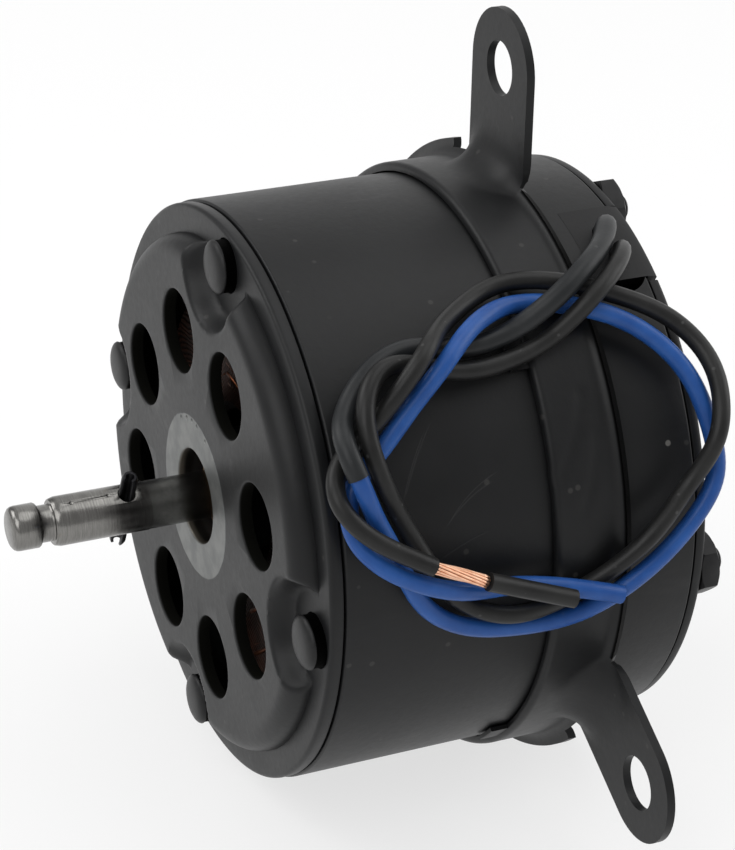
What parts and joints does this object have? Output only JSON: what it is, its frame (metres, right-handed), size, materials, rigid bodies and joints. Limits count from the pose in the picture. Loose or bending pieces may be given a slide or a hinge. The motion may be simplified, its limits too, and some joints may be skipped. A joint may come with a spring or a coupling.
{
  "type": "radiator fan motor",
  "caption": "Round black radiator fan motor with vented front cap, ground output shaft, strap bracket with drilled ears and two leads looped at its side.",
  "frame": {"origin": "on the shaft axis, in the plane of the front faces of the three ears", "axes": "+Y along the shaft axis towards the rear cap, so the shaft points to -Y; +Z towards the first ear"},
  "size_m": [0.1342, 0.1084, 0.1277],
  "materials": {
    "black_paint": "satin black paint",
    "shaft_steel": "ground",
    "black_bolt_steel": "black finish",
    "grommet_rubber": "moulded",
    "ferrite": "matte",
    "card_board": "laminated phenolic paper",
    "brass": "sheet",
    "carbon": "pressed",
    "spring_steel": "wire",
    "copper": "bare or enamelled",
    "pin_oxide": "black oxide",
    "core_iron": "stamped sheets",
    "bronze": "sintered",
    "nylon": "moulded",
    "black_insulation": "satin",
    "blue_insulation": "satin",
    "sleeve_black": "satin"
  },
  "bodies": {
    "housing": {"black_lead": "black_insulation", "blue_lead": "blue_insulation", "blue_lead_sleeve": "sleeve_black", "brush_1": "carbon", "brush_2": "carbon", "brush_card": "card_board", "brush_holder_1": "brass", "brush_holder_2": "brass", "brush_spring_1": "spring_steel", "brush_spring_2": "spring_steel", "can": "black_paint", "copper_end": "copper", "front_bushing": "bronze", "front_cap": "black_paint", "front_retainer": "shaft_steel", "grommet": "grommet_rubber", "lead_offcut": "black_insulation", "magnet_1": "ferrite", "magnet_2": "ferrite", "magnet_3": "ferrite", "magnet_4": "ferrite", "nut_1": "black_bolt_steel", "nut_2": "black_bolt_steel", "nut_3": "black_bolt_steel", "nut_4": "black_bolt_steel", "rear_bushing": "bronze", "rear_cap": "black_paint", "rear_retainer": "shaft_steel", "strap_bracket": "black_paint", "through_bolt_1": "black_bolt_steel", "through_bolt_2": "black_bolt_steel", "through_bolt_3": "black_bolt_steel", "through_bolt_4": "black_bolt_steel"},
    "rotor": {"shaft": "shaft_steel", "spring_pin": "pin_oxide", "armature_core": "core_iron", "windings": "copper", "commutator": "copper", "front_washer": "nylon", "rear_washer": "nylon"}
  },
  "joints": [
    {"name": "rotor_spin", "type": "hinge", "parent": "housing", "child": "rotor", "pos_m": [0, 0, 0], "axis": [0, 1, 0], "continuous": true}
  ]
}
